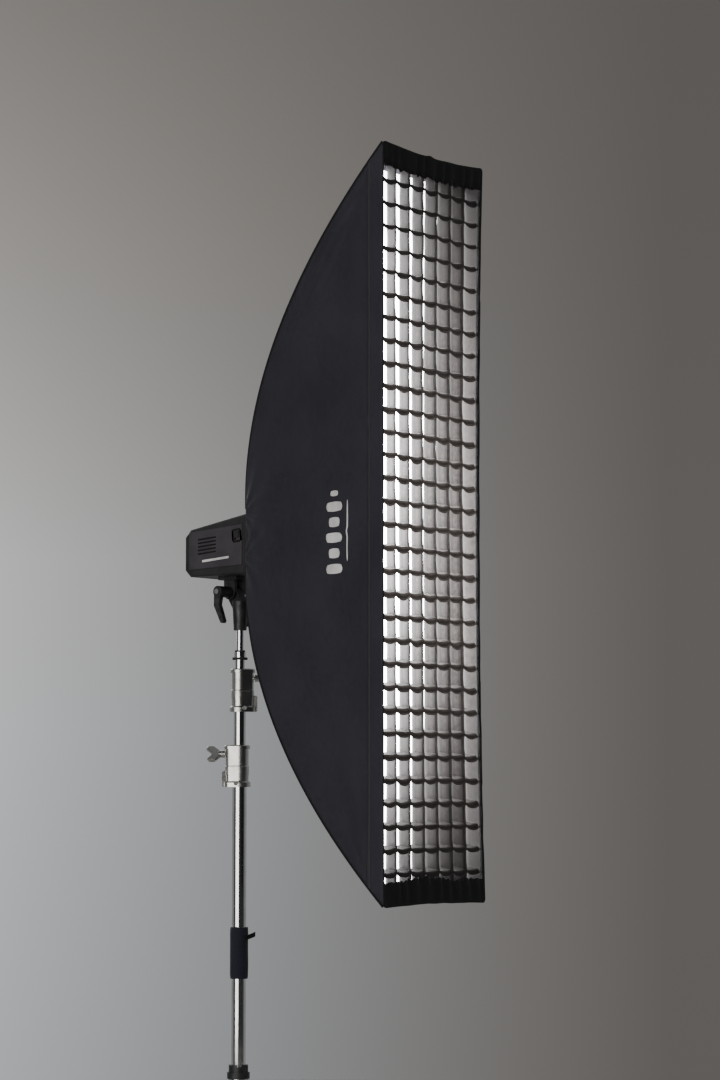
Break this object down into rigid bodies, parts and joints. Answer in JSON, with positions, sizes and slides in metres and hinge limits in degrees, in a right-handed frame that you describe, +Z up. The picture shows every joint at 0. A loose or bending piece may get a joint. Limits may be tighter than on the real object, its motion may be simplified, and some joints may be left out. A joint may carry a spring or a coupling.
{
  "type": "studio softbox",
  "caption": "Tall strip softbox with a cloth grid, on a battery flash head with tilt bracket, on a chromed three-legged column stand with telescoping risers.",
  "frame": {"origin": "middle of the object's footprint, on the floor", "axes": "+Z up; the lit front faces -Y; +X is to the right when seen from in front of the lit face looking along +Y"},
  "size_m": [0.8564, 0.8028, 2.3],
  "materials": {
    "chrome": "polished chrome plate",
    "chrome_cast": "cast and chromed, slightly satin",
    "black_metal": "satin black",
    "black_plastic": "fine moulded texture",
    "panel_plastic": "fine moulded texture, slightly purple grey",
    "rubber": "matt",
    "neoprene": "navy black neoprene",
    "shell_cloth": "black coated nylon, silver inside",
    "white_cloth": "thin white diffusing cloth",
    "grid_cloth": "woven black polyester strip",
    "spring_steel": "sprung steel",
    "aluminium": "turned, satin",
    "frosted_glass": "frosted",
    "clear_window": "glossy dark window",
    "board_green": "solder mask"
  },
  "bodies": {
    "base": {"leg_front": "chrome", "foot_front": "rubber", "hub_sleeve": "black_metal", "hub_cap": "black_metal", "base_tube": "chrome", "lower_collar": "chrome_cast", "grip_sleeve": "neoprene"},
    "leg_left": {"leg_left": "chrome", "foot_left": "rubber"},
    "leg_right": {"leg_right": "chrome", "foot_right": "rubber"},
    "lower_tee": {"lower_tee_handle": "chrome_cast"},
    "lower_riser": {"lower_riser_tube": "chrome", "upper_collar": "chrome_cast"},
    "upper_tee": {"upper_tee_handle": "chrome_cast"},
    "upper_riser": {"upper_riser_tube": "chrome", "top_stud": "chrome", "stud_rings": "black_metal"},
    "bracket": {"adapter_body": "black_metal", "tilt_bolt": "spring_steel"},
    "socket_knob": {"adapter_knob": "black_plastic"},
    "tilt_lever": {"tilt_lever": "black_plastic"},
    "head": {"casing": "black_plastic", "side_cover": "panel_plastic", "rear_panel": "panel_plastic", "lcd_window": "clear_window", "bayonet_insert": "aluminium", "bayonet_socket": "black_metal", "flash_tube": "frosted_glass", "modelling_lamp": "frosted_glass", "glass_dome": "frosted_glass", "reflector_plate": "aluminium", "capacitor_bank": "aluminium", "circuit_board": "board_green", "cooling_fan": "black_plastic", "head_foot": "black_metal"},
    "battery": {"battery_pack": "panel_plastic"},
    "battery_latch": {"battery_latch": "black_plastic"},
    "release_button": {"release_button": "black_plastic"},
    "dial": {"dial": "black_plastic"},
    "button_1": {"button_1": "rubber"},
    "button_2": {"button_2": "rubber"},
    "button_3": {"button_3": "rubber"},
    "power_switch": {"power_switch": "black_plastic"},
    "softbox": {"speed_ring": "black_metal", "rod_sockets": "black_metal", "rod_1": "spring_steel", "rod_2": "spring_steel", "rod_3": "spring_steel", "rod_4": "spring_steel", "panel_left": "shell_cloth", "panel_right": "shell_cloth", "panel_top": "shell_cloth", "panel_bottom": "shell_cloth", "front_lip": "shell_cloth", "corner_pockets": "shell_cloth", "front_diffuser": "white_cloth", "inner_baffle": "white_cloth", "grid": "grid_cloth"}
  },
  "joints": [
    {"name": "leg_left_swing", "type": "hinge", "parent": "base", "child": "leg_left", "pos_m": [0, 0.14856, 0.281], "axis": [0, 0, 1], "range_deg": [0, 112]},
    {"name": "leg_right_swing", "type": "hinge", "parent": "base", "child": "leg_right", "pos_m": [0, 0.14856, 0.229], "axis": [0, 0, -1], "range_deg": [0, 112]},
    {"name": "lower_tee_turn", "type": "hinge", "parent": "base", "child": "lower_tee", "pos_m": [-0.03535, 0.18391, 1.021], "axis": [-0.7071, 0.7071, 0], "range_deg": [0, 360]},
    {"name": "lower_riser_slide", "type": "slide", "parent": "base", "child": "lower_riser", "axis": [0, 0, 1], "range_m": [-0.07, 0.62]},
    {"name": "upper_tee_turn", "type": "hinge", "parent": "lower_riser", "child": "upper_tee", "pos_m": [0.03535, 0.1132, 1.19], "axis": [0.7071, -0.7071, 0], "range_deg": [0, 360]},
    {"name": "upper_riser_slide", "type": "slide", "parent": "lower_riser", "child": "upper_riser", "axis": [0, 0, 1], "range_m": [-0.015, 0.68]},
    {"name": "bracket_pan", "type": "hinge", "parent": "upper_riser", "child": "bracket", "pos_m": [0, 0.14856, 1.32], "axis": [0, 0, 1], "continuous": true},
    {"name": "socket_knob_turn", "type": "hinge", "parent": "bracket", "child": "socket_knob", "pos_m": [0.03, 0.14856, 1.312], "axis": [1, 0, 0], "range_deg": [0, 360]},
    {"name": "lever_swing", "type": "hinge", "parent": "bracket", "child": "tilt_lever", "pos_m": [-0.04, 0.16556, 1.382], "axis": [-1, 0, 0], "range_deg": [-35, 22]},
    {"name": "head_tilt", "type": "hinge", "parent": "bracket", "child": "head", "pos_m": [0, 0.16556, 1.382], "axis": [-1, 0, 0], "range_deg": [-8, 70]},
    {"name": "softbox_spin", "type": "hinge", "parent": "head", "child": "softbox", "pos_m": [0, 0.06056, 1.5], "axis": [0, 1, 0], "continuous": true},
    {"name": "battery_pull", "type": "slide", "parent": "head", "child": "battery", "axis": [-1, 0, 0], "range_m": [0, 0.045]},
    {"name": "battery_latch_slide", "type": "slide", "parent": "battery", "child": "battery_latch", "axis": [0, 0, -1], "range_m": [0, 0.006], "stiffness_N_per_m": 400},
    {"name": "release_press", "type": "slide", "parent": "head", "child": "release_button", "axis": [0, 1, 0], "range_m": [0, 0.0015], "stiffness_N_per_m": 800},
    {"name": "dial_turn", "type": "hinge", "parent": "head", "child": "dial", "pos_m": [0.032, 0.27156, 1.462], "axis": [0, 1, 0], "continuous": true},
    {"name": "power_slide", "type": "slide", "parent": "head", "child": "power_switch", "axis": [1, 0, 0], "range_m": [0, 0.006]},
    {"name": "button_1_press", "type": "slide", "parent": "head", "child": "button_1", "axis": [0, -1, 0], "range_m": [0, 0.0012], "stiffness_N_per_m": 500},
    {"name": "button_2_press", "type": "slide", "parent": "head", "child": "button_2", "axis": [0, -1, 0], "range_m": [0, 0.0012], "stiffness_N_per_m": 500},
    {"name": "button_3_press", "type": "slide", "parent": "head", "child": "button_3", "axis": [0, -1, 0], "range_m": [0, 0.0012], "stiffness_N_per_m": 500}
  ]
}
